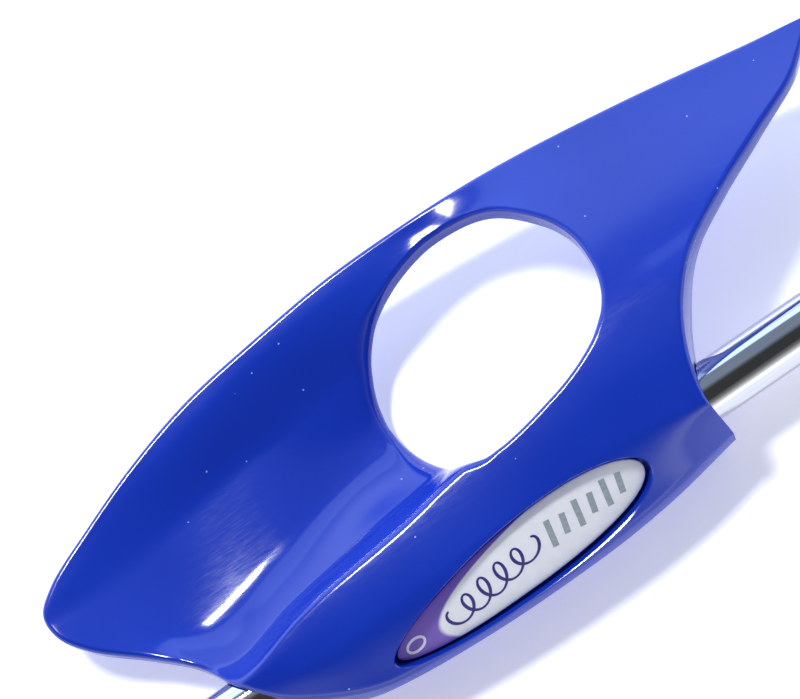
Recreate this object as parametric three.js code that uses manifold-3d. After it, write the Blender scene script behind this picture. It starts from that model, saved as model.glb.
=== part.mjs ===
// Finger-ring ballpoint pen.
// A moulded holder has a finger scoop, a finger hole and a tail wing, and carries a slim
// twist-action ballpoint in a straight bore along its lower edge.
//
// Frame: millimetres, +Z up from the surface that the pen lies on, +X along the barrel
// towards its rear end, +Y from the barrel towards the outer rim. The barrel's axis is
// straight above the X axis, and the holder rests on its underside at z = 0.

import * as THREE from 'three';
import { mergeVertices } from 'three/addons/utils/BufferGeometryUtils.js';
import Module from 'manifold-3d';

const wasm = await Module();
wasm.setup();

// ---------------------------------------------------------------- driving dimensions

const AXIS_HEIGHT = 5.6;
const GAP = 0.3;
const ROUND_SEGMENTS = 28;

// Pen, as stations along X and radii about the barrel's axis.
const BARREL_RADIUS = 3.0;
const BARREL_BORE = 2.65;
const HOLDER_BORE = BARREL_RADIUS + GAP;
const FRONT_BARREL = { start: -30, end: 52 };
const CENTRE_RING = { start: 52.25, end: 53.75, radius: 3.15 };
const REAR_BARREL = { start: 54.05, end: 86 };
const CAP_END = 91;
const CAP_FACE_RADIUS = 2.2;
const NOSE_END = -43.2;
const TIP_END = -46.05;
const BALL_RADIUS = 0.4;
const BALL_CENTRE = -46.0;
const REFILL_RADIUS = 1.2;
const REFILL_FRONT = -35.4;
const REFILL_REAR = 52;
const INSERT_LENGTH = 6;

// Twist mechanism: half a turn of the rear barrel moves the refill by TRAVEL.
const TRAVEL = 5;
const TWIST = Math.PI;
const PIN_RADIUS = 0.3;
const PIN_STATION = 66;
const HOUSING = { start: 44, end: 76, flange: 2.4, radius: 1.75, bore: 1.4 };
const ROTOR = { start: 56, end: 80, radius: 2.4, bore: 2.0 };

// Holder moulding.
const RIB_STEPS = 2;
const SPAN_STEPS = 9;
const FILLET_STEPS = 2;
const EDGE_ROUND = 0.6;
const FLANK_ROUND = 0.5;
const HOLE_ROUND = { scoop: 1.8, arch: 0.5 };

// Label set into the flank.
const LABEL = { centre: 11.25, half: 15.05, halfWidth: 2.65, taper: 0.22 };
const LABEL_CENTRE_LINE = [[-4, -5.7], [3, -5.3], [11, -4.75], [20, -4.35], [26.5, -4.2]];
const LABEL_TILT = THREE.MathUtils.degToRad(37.5);
const RECESS_DEPTH = 1.75;
const RECESS_MARGIN = 0.45;
const LABEL_TOP_DEPTH = 1.0;

// Each rib joins a point of the outer edge to a point of the finger hole, [x, y] each,
// anticlockwise from the tip of the tail wing.
const RIBS = [
  [[65.6, 24.9], [33.55, 18.6]],
  [[56.5, 26.8], [33.1, 20.6]],
  [[45.6, 29.0], [32.0, 23.0]],
  [[30.3, 31.4], [28.2, 27.4]],
  [[20.5, 32.1], [22.6, 29.0]],
  [[11.0, 32.2], [16.9, 28.1]],
  [[1.7, 31.4], [12.9, 26.1]],
  [[-8.0, 30.1], [10.4, 23.9]],
  [[-16.1, 27.8], [9.1, 21.9]],
  [[-23.4, 24.9], [8.3, 20.1]],
  [[-29.4, 22.1], [7.95, 18.7]],
  [[-31.7, 19.9], [7.8, 17.6]],
  [[-31.6, 17.2], [7.85, 16.4]],
  [[-29.6, 14.2], [8.0, 15.1]],
  [[-24.7, 9.9], [8.5, 13.2]],
  [[-20.8, 5.8], [9.4, 11.1]],
  [[-18.6, 1.6], [10.6, 9.0]],
  [[-17.2, -0.3], [12.1, 6.5]],
  [[-15.2, -2.3], [13.9, 5.2]],
  [[-11.5, -4.6], [15.9, 5.0]],
  [[-6.5, -6.6], [17.7, 5.15]],
  [[1.0, -7.5], [19.6, 5.45]],
  [[9.5, -7.85], [21.8, 5.9]],
  [[18.7, -7.7], [24.2, 6.45]],
  [[27.1, -6.95], [26.7, 7.3]],
  [[35.4, -5.3], [28.9, 8.35]],
  [[34.8, -2.9], [29.7, 8.9]],
  [[35.2, -0.3], [30.5, 9.55]],
  [[36.5, 3.2], [31.4, 10.4]],
  [[38.8, 6.9], [32.2, 11.5]],
  [[42.4, 10.6], [32.8, 12.7]],
  [[48.0, 13.9], [33.3, 14.3]],
  [[54.5, 17.0], [33.5, 15.7]],
  [[61.0, 20.3], [33.6, 17.1]],
];
const TAIL_TIP_RIB = 0;
const REAR_CORNER_RIB = 25;

// Lines that run along the holder: where each lies, and how high, as knots [x, value].
const FLANK_EDGE_Y = [
  [-22, 0.5], [-17.2, -1.2], [-15.2, -2.4], [-11.5, -4.7], [-6.5, -6.7], [1, -7.6],
  [9.5, -7.95], [18.7, -7.8], [27.1, -7.05], [35.4, -5.4],
];
const CREST_Y = [
  [-22, 4.5], [-17.2, 0.9], [-9.5, 2.5], [-5, 3.1], [3.1, 3.7], [10.4, 4.8], [20, 5.6],
  [27, 7.4], [34, 8.5],
];
const FLOOR_Y = [[-32, 16.5], [-25, 12.7], [-18, 10.5], [-10, 12.3], [0, 15], [9, 16.6], [28, 18]];
const SIDE_Y = [[-32, 18.5], [-25, 18], [-18, 19], [-10, 20.5], [0, 21.8], [9, 22.5], [28, 22.5], [66, 20.5]];
const RIM_Y = [
  [-32, 20], [-25, 22.8], [-16, 26.2], [-8, 28.2], [0, 29.6], [12, 30.6], [20.5, 30.2],
  [28, 28.2], [34, 27], [50, 25], [66, 23],
];
const OUTER_Y = [
  [-32, 22], [-25, 24.6], [-16, 28], [-8, 30.3], [2, 31.6], [14, 32.4], [30.3, 31.5],
  [45.6, 29.2], [66, 25],
];

const TOP_LINES = [
  { y: FLANK_EDGE_Y, z: [[-22, 6], [-17, 8.6], [-11.5, 7.6], [-4, 6.9], [4, 6.9], [27, 7.2], [35.4, 6.6]] },
  {
    y: [[-22, 2.2], [-16, -0.2], [-10, -1.3], [0, -1.5], [12, -1.1], [24, -0.8], [34.7, -2.7]],
    z: [[-22, 6.1], [-17, 9.3], [-10, 10.2], [0, 11.2], [12, 12.1], [24, 12.4], [35, 12.2]],
  },
  {
    y: CREST_Y,
    z: [[-22, 6.1], [-17.2, 9.5], [-9.5, 10.7], [-0.7, 11.6], [10.4, 12.5], [22, 13.5], [30, 14.1], [38, 14.4]],
  },
  {
    y: [[-22, 6.5], [-17.2, 4.6], [-10, 6.2], [0, 7.6], [8, 9], [12, 10], [28, 12.5], [66, 13]],
    z: [[-32, 6.2], [-22, 6.0], [-17.2, 6.1], [-10, 6.3], [0, 6.4], [8, 5.3], [12, 4.8], [14, 5.0], [28, 13.8]],
  },
  { y: FLOOR_Y, z: [[-32, 6.6], [-25, 5.3], [-18, 4.3], [-13, 4.45], [-8, 4.3], [0, 3.2], [9, 2.5], [14, 2.8], [28, 12.9]] },
  {
    y: SIDE_Y,
    z: [[-32, 6.5], [-25, 5.6], [-18, 5], [-10, 4.6], [0, 4.3], [9, 4.4], [16, 6.5], [28, 11.9], [66, 12.2]],
  },
  {
    y: RIM_Y,
    z: [[-32, 6.6], [-25, 6.6], [-16, 6.9], [-8, 7.3], [0, 7.7], [12, 8.4], [22, 8.9], [28, 10.1], [34, 10.9], [66, 11.6]],
  },
  { y: OUTER_Y, z: [[-32, 6.7], [-16, 7.2], [2, 8], [14, 8.7], [30, 9.7], [38.7, 10.2], [66, 11.2]] },
];

const BOTTOM_LINES = [
  { y: FLANK_EDGE_Y, z: [[-22, 4], [-17, 2.2], [-11.5, 3.6], [-4, 4.8], [35.4, 4.8]] },
  {
    y: [[-22, 1.6], [-17.2, 0.0], [-15.2, -1.1], [-11.5, -3.4], [-6.5, -5.4], [1, -6.3], [18.7, -6.5], [35.4, -4.4]],
    z: [[-22, 3.8], [-17, 1.4], [-11.5, 1.8], [-4, 2.2], [35.4, 2.2]],
  },
  { y: [[-22, 3.4], [-17, 1], [-13, -1.6], [-8, -3.2]], z: [[-22, 3.6], [-17, 1], [-13, 0.2], [-10, 0], [36, 0], [40, 3]] },
  { y: [[-22, 5], [-17, 4.2]], z: [[-22, 3.6], [-17, 1.4], [-12, 0], [34, 0], [38, 4], [44, 10]] },
  { y: FLOOR_Y, z: [[-32, 4.2], [-25, 3], [-18, 2.2], [-10, 1.3], [0, 0.5], [8, 0], [14, 0], [28, 9.4], [66, 10.3]] },
  { y: SIDE_Y, z: [[-32, 4.2], [-25, 3.2], [-18, 2.6], [-10, 2.1], [0, 1.8], [9, 1.9], [16, 4], [28, 8.6], [66, 9.6]] },
  { y: RIM_Y, z: [[-32, 4.3], [-16, 4.5], [-8, 4.8], [0, 5.1], [12, 5.8], [22, 6.3], [28, 7.4], [34, 8], [66, 9]] },
  { y: OUTER_Y, z: [[-32, 4.5], [-16, 4.9], [2, 5.6], [14, 6.2], [30, 7.2], [66, 8.8]] },
];

// ---------------------------------------------------------------- curves and surfaces

// Smooth value at x through knots [x, value], without overshoot, held level past the ends.
function along(knots, x) {
  const last = knots.length - 1;
  if (x <= knots[0][0]) return knots[0][1];
  if (x >= knots[last][0]) return knots[last][1];
  const secant = (k) => (knots[k + 1][1] - knots[k][1]) / (knots[k + 1][0] - knots[k][0]);
  const tangent = (k) => {
    if (k === 0) return secant(0);
    if (k === last) return secant(last - 1);
    const before = secant(k - 1);
    const after = secant(k);
    return before * after <= 0 ? 0 : (2 * before * after) / (before + after);
  };
  let i = 0;
  while (x > knots[i + 1][0]) i += 1;
  const width = knots[i + 1][0] - knots[i][0];
  const t = (x - knots[i][0]) / width;
  const a = 2 * t ** 3 - 3 * t ** 2 + 1;
  const b = t ** 3 - 2 * t ** 2 + t;
  const c = -2 * t ** 3 + 3 * t ** 2;
  const d = t ** 3 - t ** 2;
  return a * knots[i][1] + b * width * tangent(i) + c * knots[i + 1][1] + d * width * tangent(i + 1);
}

// Height of a lofted surface over (x, y): the lines' positions at x are its knots across y.
function heightOn(lines, x, y) {
  return along(lines.map((line) => [along(line.y, x), along(line.z, x)]), y);
}

// Point at parameter t, in ribs, on the closed spline through one end of every rib.
function onOutline(end, t, corners) {
  const count = RIBS.length;
  const at = (k) => new THREE.Vector2(...RIBS[((k % count) + count) % count][end]);
  const i = Math.floor(t);
  const before = corners.includes(i % count) ? at(i).multiplyScalar(2).sub(at(i + 1)) : at(i - 1);
  const after = corners.includes((i + 1) % count) ? at(i + 1).multiplyScalar(2).sub(at(i)) : at(i + 2);
  const points = [before, at(i), at(i + 1), after].map((p) => new THREE.Vector3(p.x, p.y, 0));
  const spline = new THREE.CatmullRomCurve3(points, false, 'centripetal');
  const place = spline.getPoint((1 + t - i) / 3);
  const course = spline.getTangent((1 + t - i) / 3);
  return { place, normal: new THREE.Vector3(course.y, -course.x, 0) };
}

// A rounded edge between the top and bottom surfaces: points from one to the other. Each
// rounding leaves its own surface smoothly, and the two meet upright at the outline.
function edgePoints(place, outward, round) {
  const rise = heightOn(TOP_LINES, place.x, place.y) - heightOn(BOTTOM_LINES, place.x, place.y);
  const radius = Math.min(round, 0.48 * rise);
  const rounding = (lines, sign, step) => {
    const angle = (Math.PI / 2) * (step / FILLET_STEPS);
    const p = place.clone().addScaledVector(outward, -round * (1 - Math.sin(angle)));
    const drop = radius * (1 - Math.cos(angle));
    return new THREE.Vector3(p.x, p.y, heightOn(lines, p.x, p.y) + sign * drop);
  };
  const steps = Array.from({ length: FILLET_STEPS + 1 }, (_, step) => step);
  return [
    ...steps.map((step) => rounding(TOP_LINES, -1, step)),
    ...steps.reverse().map((step) => rounding(BOTTOM_LINES, 1, step)),
  ];
}

// The inner points of a surface between two edges, spaced evenly.
function spanPoints(lines, from, to) {
  const points = [];
  for (let step = 1; step < SPAN_STEPS; step += 1) {
    const p = from.clone().lerp(to, step / SPAN_STEPS);
    points.push(new THREE.Vector3(p.x, p.y, heightOn(lines, p.x, p.y)));
  }
  return points;
}

// The share of its full width that the rounding keeps near a sharp corner of the outline.
function cornerShare(t) {
  const away = [TAIL_TIP_RIB, REAR_CORNER_RIB].map((rib) => {
    const gap = Math.abs(t - rib);
    return Math.min(gap, RIBS.length - gap);
  });
  return THREE.MathUtils.lerp(0.2, 1, THREE.MathUtils.smoothstep(Math.min(...away), 0, 0.8));
}

// One section of the holder along a rib: over the top, round the outer edge, back
// underneath and round the hole's edge.
function holderSection(t) {
  const outer = onOutline(0, t, [TAIL_TIP_RIB, REAR_CORNER_RIB]);
  const hole = onOutline(1, t, []);
  const flank = THREE.MathUtils.smoothstep(-outer.place.y, -2, 3);
  const round = THREE.MathUtils.lerp(EDGE_ROUND, FLANK_ROUND, flank) * cornerShare(t);
  const outerEdge = edgePoints(outer.place, outer.normal, round);
  const arch = THREE.MathUtils.smoothstep(hole.place.x, 10, 16);
  const holeRound = THREE.MathUtils.lerp(HOLE_ROUND.scoop, HOLE_ROUND.arch, arch);
  const holeEdge = edgePoints(hole.place, hole.normal.clone().negate(), holeRound);
  const holeBack = [...holeEdge].reverse();
  const top = spanPoints(TOP_LINES, holeEdge[0], outerEdge[0]);
  const bottom = spanPoints(BOTTOM_LINES, outerEdge[outerEdge.length - 1], holeBack[0]);
  return [...top, ...outerEdge, ...bottom, ...holeBack];
}

// ---------------------------------------------------------------- solids

function geometryFrom(positions, indices) {
  const geometry = new THREE.BufferGeometry();
  geometry.setAttribute('position', new THREE.Float32BufferAttribute(positions, 3));
  geometry.setIndex(indices);
  geometry.computeVertexNormals();
  return geometry;
}

// A closed ring of equal sections, each a closed loop of points.
function ringOf(sections) {
  const loop = sections[0].length;
  const indices = [];
  sections.forEach((_, i) => {
    const next = (i + 1) % sections.length;
    for (let j = 0; j < loop; j += 1) {
      const k = (j + 1) % loop;
      indices.push(i * loop + j, i * loop + k, next * loop + k);
      indices.push(i * loop + j, next * loop + k, next * loop + j);
    }
  });
  return geometryFrom(sections.flat().flatMap((p) => [p.x, p.y, p.z]), indices);
}

function solidOf(geometry) {
  const bare = geometry.clone();
  bare.deleteAttribute('normal');
  bare.deleteAttribute('uv');
  const merged = mergeVertices(bare, 1e-5);
  return new wasm.Manifold(new wasm.Mesh({
    numProp: 3,
    vertProperties: new Float32Array(merged.attributes.position.array),
    triVerts: new Uint32Array(merged.index.array),
  }));
}

function geometryOf(solid) {
  const mesh = solid.getMesh();
  return geometryFrom(Array.from(mesh.vertProperties), Array.from(mesh.triVerts));
}

function cut(geometry, ...tools) {
  return geometryOf(tools.reduce((solid, tool) => solid.subtract(solidOf(tool)), solidOf(geometry)));
}

// A turned piece about the barrel's axis. Its profile is a list of [x, radius]; an open
// profile starts and ends on the axis, and a tube's profile closes on itself.
function turned(profile, segments = ROUND_SEGMENTS) {
  const points = profile.map(([x, radius]) => new THREE.Vector2(radius, x));
  if (profile[0][1] > 0) points.push(points[0].clone());
  const geometry = new THREE.LatheGeometry(points, segments);
  return geometry.rotateZ(-Math.PI / 2).translate(0, 0, AXIS_HEIGHT);
}

function tube(start, end, outer, inner, segments) {
  return turned([[start, inner], [start, outer], [end, outer], [end, inner]], segments);
}

function rod(start, end, radius, segments) {
  return turned([[start, 0], [start, radius], [end, radius], [end, 0]], segments);
}

// ---------------------------------------------------------------- holder and label

// A pointed oval that follows the flank between two depths below it, grown by margin.
function flankOval(upperDepth, lowerDepth, margin) {
  const rings = 3;
  const segments = 36;
  const inward = new THREE.Vector3(0, Math.sin(LABEL_TILT), -Math.cos(LABEL_TILT));
  const placeAt = (reach, angle, depth) => {
    const swell = 1 + LABEL.taper * Math.cos(angle);
    const x = LABEL.centre + reach * (LABEL.half + margin) * Math.cos(angle);
    const width = (LABEL.halfWidth + margin * Math.cos(LABEL_TILT)) * swell;
    const y = along(LABEL_CENTRE_LINE, x) + reach * width * Math.sin(angle);
    return new THREE.Vector3(x, y, heightOn(TOP_LINES, x, y)).addScaledVector(inward, depth);
  };
  const points = [];
  const depths = [upperDepth, lowerDepth];
  depths.forEach((depth) => {
    points.push(placeAt(0, 0, depth));
    for (let ring = 1; ring <= rings; ring += 1) {
      for (let k = 0; k < segments; k += 1) {
        points.push(placeAt(ring / rings, (2 * Math.PI * k) / segments, depth));
      }
    }
  });
  const half = points.length / 2;
  const indices = [];
  const face = (a, b, c, flip) => indices.push(...(flip ? [a, c, b] : [a, b, c]));
  [0, half].forEach((base, side) => {
    for (let k = 0; k < segments; k += 1) {
      const next = (k + 1) % segments;
      face(base, base + 1 + k, base + 1 + next, side === 1);
      for (let ring = 0; ring < rings - 1; ring += 1) {
        const inner = base + 1 + ring * segments;
        const outer = inner + segments;
        face(inner + k, outer + k, outer + next, side === 1);
        face(inner + k, outer + next, inner + next, side === 1);
      }
    }
  });
  const rim = 1 + (rings - 1) * segments;
  for (let k = 0; k < segments; k += 1) {
    const next = (k + 1) % segments;
    face(rim + k, half + rim + k, half + rim + next, false);
    face(rim + k, half + rim + next, rim + next, false);
  }
  return geometryFrom(points.flatMap((p) => [p.x, p.y, p.z]), indices);
}

function ringHolder() {
  const sections = [];
  for (let i = 0; i < RIBS.length * RIB_STEPS; i += 1) sections.push(holderSection(i / RIB_STEPS));
  const bore = rod(-40, 60, HOLDER_BORE);
  return cut(ringOf(sections), bore, flankOval(-3, RECESS_DEPTH, RECESS_MARGIN));
}

function labelPlate() {
  return flankOval(LABEL_TOP_DEPTH, RECESS_DEPTH - GAP, 0);
}

// ---------------------------------------------------------------- outer pen

function noseCone() {
  const shoulder = FRONT_BARREL.start - GAP;
  const spigotEnd = shoulder + INSERT_LENGTH - 1;
  return turned([
    [NOSE_END, 1.1], [NOSE_END, 1.45], [NOSE_END + 0.4, 1.6], [NOSE_END + 5, 2.15],
    [shoulder - 4, 2.75], [shoulder, BARREL_RADIUS], [shoulder, 1.9],
    [spigotEnd, 1.9], [spigotEnd, 1.5], [NOSE_END + 5, 1.5], [NOSE_END + 3.5, 1.1],
  ]);
}

function noseInsert() {
  return tube(FRONT_BARREL.start + 0.2, FRONT_BARREL.start + 0.2 + INSERT_LENGTH, 2.4, 2.15);
}

function centreRing() {
  const { start, end, radius } = CENTRE_RING;
  const chamfer = 0.2;
  return turned([
    [start, 2.05], [start, radius - chamfer], [start + chamfer, radius],
    [end - chamfer, radius], [end, radius - chamfer], [end, 2.05],
  ]);
}

function rearPlug() {
  const start = ROTOR.end + GAP + 0.2;
  return turned([
    [start, 0], [start, 2.35], [REAR_BARREL.end, 2.35], [REAR_BARREL.end, 0.9], [start + 1, 0.9], [start + 1, 0],
  ]);
}

function endCap() {
  const start = REAR_BARREL.end + GAP;
  return turned([
    [start - 3.5, 0], [start - 3.5, 0.6], [start, 0.6], [start, BARREL_RADIUS], [start + 2.6, BARREL_RADIUS],
    [start + 3.7, 2.85], [CAP_END - 0.35, 2.5], [CAP_END, CAP_FACE_RADIUS], [CAP_END, 0],
  ]);
}

// ---------------------------------------------------------------- twist mechanism

// The straight slot that keeps the follower pin from turning.
function mechanismHousing() {
  const { start, end, flange, radius, bore } = HOUSING;
  const step = FRONT_BARREL.end;
  const body = turned([[start, bore], [start, flange], [step, flange], [step, radius], [end, radius], [end, bore]]);
  const length = TRAVEL + 4 * PIN_RADIUS;
  const slot = new THREE.BoxGeometry(length, 4 * PIN_RADIUS, radius);
  slot.translate(PIN_STATION + TRAVEL / 2, 0, AXIS_HEIGHT + radius);
  return cut(body, slot);
}

// A block swept along the follower pin's path, as the turning rotor sees it.
function camPath() {
  const steps = 24;
  const halfWidth = 2 * PIN_RADIUS;
  const overrun = 0.3;
  const points = [];
  for (let i = 0; i <= steps; i += 1) {
    const turn = -overrun + ((TWIST + 2 * overrun) * i) / steps;
    const x = PIN_STATION + (TRAVEL * turn) / TWIST;
    [[-halfWidth, 1.7], [halfWidth, 1.7], [halfWidth, 2.7], [-halfWidth, 2.7]].forEach(([shift, radius]) => {
      points.push(x + shift, radius * Math.sin(turn), AXIS_HEIGHT + radius * Math.cos(turn));
    });
  }
  const indices = [0, 1, 2, 0, 2, 3];
  for (let i = 0; i < steps; i += 1) {
    for (let j = 0; j < 4; j += 1) {
      const k = (j + 1) % 4;
      indices.push(i * 4 + j, i * 4 + 4 + k, i * 4 + k, i * 4 + j, i * 4 + 4 + j, i * 4 + 4 + k);
    }
  }
  const end = steps * 4;
  indices.push(end, end + 2, end + 1, end, end + 3, end + 2);
  return geometryFrom(points, indices);
}

function camRotor() {
  const { start, end, radius, bore } = ROTOR;
  const floor = end - 2;
  return cut(turned([[start, bore], [start, radius], [end, radius], [end, 0], [floor, 0], [floor, bore]]), camPath());
}

function refillCarrier() {
  const start = 62.3;
  return turned([[start, 0.8], [start, 1.1], [70, 1.1], [70, 0], [start + 3, 0], [start + 3, 0.8]]);
}

function followerPin() {
  const length = 1;
  const pin = new THREE.CylinderGeometry(PIN_RADIUS, PIN_RADIUS, length, 12);
  return pin.rotateX(Math.PI / 2).translate(PIN_STATION, 0, AXIS_HEIGHT + 1.35 + length / 2);
}

function frictionRing() {
  const thickness = 0.21;
  const centre = 54.85;
  const profile = [];
  for (let k = 0; k < 8; k += 1) {
    const angle = (2 * Math.PI * k) / 8;
    profile.push([centre - thickness * 2 * Math.cos(angle), 2.2 + thickness * Math.sin(angle)]);
  }
  return turned(profile);
}

// ---------------------------------------------------------------- refill

function refillTip() {
  const seat = BALL_RADIUS + 0.06;
  const shoulder = REFILL_FRONT - GAP;
  const plugEnd = shoulder + 3.7;
  return turned([
    [TIP_END + 0.55, 0], [TIP_END + 0.55, seat], [TIP_END, seat], [TIP_END, seat + 0.1], [TIP_END + 1.4, 0.8],
    [-38, 0.8], [-36.4, REFILL_RADIUS], [shoulder, REFILL_RADIUS], [shoulder, 0.55], [plugEnd, 0.55], [plugEnd, 0],
  ], 20);
}

function refillPlug() {
  const start = REFILL_REAR + GAP;
  return turned([[start - 4, 0], [start - 4, 0.55], [start, 0.55], [start, 1.1], [62, 1.1], [62, 0.5], [65, 0.5], [65, 0]], 20);
}

function writingBall() {
  return new THREE.SphereGeometry(BALL_RADIUS, 14, 10).translate(BALL_CENTRE, 0, AXIS_HEIGHT);
}

// ---------------------------------------------------------------- assembly

const FINISHES = {
  bluePlastic: { color: '#1b3fc4', roughness: 0.18, metalness: 0 },
  whiteLabel: { color: '#eef0f6', roughness: 0.35, metalness: 0 },
  chrome: { color: '#d4d6da', roughness: 0.08, metalness: 1 },
  brass: { color: '#b99654', roughness: 0.3, metalness: 1 },
  steel: { color: '#a8abb0', roughness: 0.25, metalness: 1 },
  whitePlastic: { color: '#d9dadb', roughness: 0.45, metalness: 0 },
  clearPlastic: { color: '#dfe6ea', roughness: 0.3, metalness: 0 },
  ink: { color: '#101f6b', roughness: 0.3, metalness: 0 },
  grease: { color: '#c9c2a4', roughness: 0.5, metalness: 0 },
  rubber: { color: '#1d1d1f', roughness: 0.7, metalness: 0 },
  carbide: { color: '#84878c', roughness: 0.15, metalness: 1 },
};

const group = new THREE.Group();

function add(name, geometry, finish) {
  const mesh = new THREE.Mesh(geometry, new THREE.MeshStandardMaterial(FINISHES[finish]));
  mesh.name = name;
  group.add(mesh);
}

add('ring_holder', ringHolder(), 'bluePlastic');
add('label_plate', labelPlate(), 'whiteLabel');
add('nose_cone', noseCone(), 'chrome');
add('nose_insert', noseInsert(), 'brass');
add('front_barrel', tube(FRONT_BARREL.start, FRONT_BARREL.end, BARREL_RADIUS, BARREL_BORE), 'chrome');
add('centre_ring', centreRing(), 'chrome');
add('mechanism_housing', mechanismHousing(), 'brass');
add('friction_ring', frictionRing(), 'rubber');
add('rear_barrel', tube(REAR_BARREL.start, REAR_BARREL.end, BARREL_RADIUS, BARREL_BORE), 'chrome');
add('rear_plug', rearPlug(), 'whitePlastic');
add('end_cap', endCap(), 'chrome');
add('cam_rotor', camRotor(), 'brass');
add('refill_carrier', refillCarrier(), 'steel');
add('follower_pin', followerPin(), 'steel');
add('refill_plug', refillPlug(), 'whitePlastic');
add('refill_tube', tube(REFILL_FRONT, REFILL_REAR, REFILL_RADIUS, 0.85, 20), 'clearPlastic');
add('ink_column', rod(-31.7, 20, 0.55, 16), 'ink');
add('ink_follower', rod(20.3, 24, 0.55, 16), 'grease');
add('refill_tip', refillTip(), 'steel');
add('writing_ball', writingBall(), 'carbide');

export default group;
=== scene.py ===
"""Looks of a finger-ring ballpoint pen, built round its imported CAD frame.

A glossy moulded holder carries a slim chromed twist-action ballpoint. The pen's sizes are read
from the frame. The holder's free-form surface is drawn by the same design lines as its CAD
solid, at a finer step, because its shape has no simple sizes to read back.
"""

import bisect
import logging
import math
from dataclasses import dataclass, field
from enum import Enum

import bmesh
import bpy
from mathutils import Matrix, Vector

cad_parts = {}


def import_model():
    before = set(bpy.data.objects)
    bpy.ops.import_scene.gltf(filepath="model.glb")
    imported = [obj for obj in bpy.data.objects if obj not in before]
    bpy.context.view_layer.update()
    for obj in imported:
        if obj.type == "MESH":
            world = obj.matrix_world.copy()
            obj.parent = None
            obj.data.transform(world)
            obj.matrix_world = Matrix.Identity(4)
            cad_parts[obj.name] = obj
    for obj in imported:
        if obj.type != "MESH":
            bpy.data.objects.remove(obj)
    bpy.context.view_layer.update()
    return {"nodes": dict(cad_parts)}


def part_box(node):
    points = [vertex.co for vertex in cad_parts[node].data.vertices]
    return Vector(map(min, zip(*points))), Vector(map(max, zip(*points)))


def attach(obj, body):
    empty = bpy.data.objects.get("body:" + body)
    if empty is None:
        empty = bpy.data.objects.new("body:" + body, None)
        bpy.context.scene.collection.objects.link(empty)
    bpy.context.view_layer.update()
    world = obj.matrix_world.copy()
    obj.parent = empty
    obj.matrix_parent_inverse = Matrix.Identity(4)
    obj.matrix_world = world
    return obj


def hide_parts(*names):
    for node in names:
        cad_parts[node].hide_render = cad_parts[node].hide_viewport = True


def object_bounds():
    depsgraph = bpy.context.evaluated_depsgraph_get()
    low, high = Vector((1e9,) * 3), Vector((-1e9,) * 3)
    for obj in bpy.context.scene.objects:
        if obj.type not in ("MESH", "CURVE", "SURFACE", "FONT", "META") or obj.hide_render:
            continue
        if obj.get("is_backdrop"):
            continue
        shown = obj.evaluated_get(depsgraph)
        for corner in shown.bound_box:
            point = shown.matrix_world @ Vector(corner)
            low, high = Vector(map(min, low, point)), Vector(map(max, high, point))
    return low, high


log = logging.getLogger("finger_ring_pen")

MM = 0.001
Point = tuple[float, float]
Profile = list[Point]
Colour = tuple[float, float, float, float]
Stops = list[tuple[float, Colour]]
Faces = list[tuple[int, ...]]
Settings = dict[str | int, object]
Piece = bpy.types.Object
Material = bpy.types.Material
Socket = bpy.types.NodeSocket
Links = dict[str | int, Socket]


# ---- colour and nodes


def linear(hex_colour: str) -> Colour:
    """Turns an sRGB hex colour into linear red, green, blue and alpha.

    Args:
        hex_colour: six hex digits after a hash.

    Returns:
        The linear colour with alpha 1.
    """
    values = [int(hex_colour[i : i + 2], 16) / 255 for i in (1, 3, 5)]
    parts = [v / 12.92 if v <= 0.04045 else ((v + 0.055) / 1.055) ** 2.4 for v in values]
    return parts[0], parts[1], parts[2], 1.0


def per_mm(size: float) -> float:
    """Returns the texture scale at which one feature is size millimetres across."""
    return 1.0 / (size * MM)


def add_node(
    tree: bpy.types.NodeTree,
    kind: str,
    settings: Settings | None = None,
    links: Links | None = None,
) -> bpy.types.Node:
    """Adds a node with its settings and incoming links.

    Args:
        tree: the tree to add it to.
        kind: the node's type name.
        settings: values by input name or number, or by the node's own property name, and a
            colour ramp's stops.
        links: outputs to join, by input name or number.

    Returns:
        The new node.
    """
    node = tree.nodes.new(kind)
    settings = dict(settings or {})
    marks = settings.pop("stops", [])
    for key, value in settings.items():
        if isinstance(key, str) and key not in node.inputs:
            setattr(node, key, value)
    for key, value in settings.items():
        if isinstance(key, int) or key in node.inputs:
            node.inputs[key].default_value = value
    elements = node.color_ramp.elements if marks else []
    while len(elements) < len(marks):
        elements.new(1.0)
    for element, (position, colour) in zip(elements, marks):
        element.position, element.color = position, colour
    for key, source in (links or {}).items():
        tree.links.new(source, node.inputs[key])
    return node


def stops(low: str | float, high: str | float, start: float = 0.3, end: float = 0.7) -> Stops:
    """Gives a colour ramp's two stops.

    Args:
        low: the hex colour or the plain number at start.
        high: the same at end.
        start: where the change begins.
        end: where it is complete.

    Returns:
        The places with their linear colours.
    """
    pair = [linear(v) if isinstance(v, str) else (v, v, v, 1.0) for v in (low, high)]
    return [(start, pair[0]), (end, pair[1])]


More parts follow.
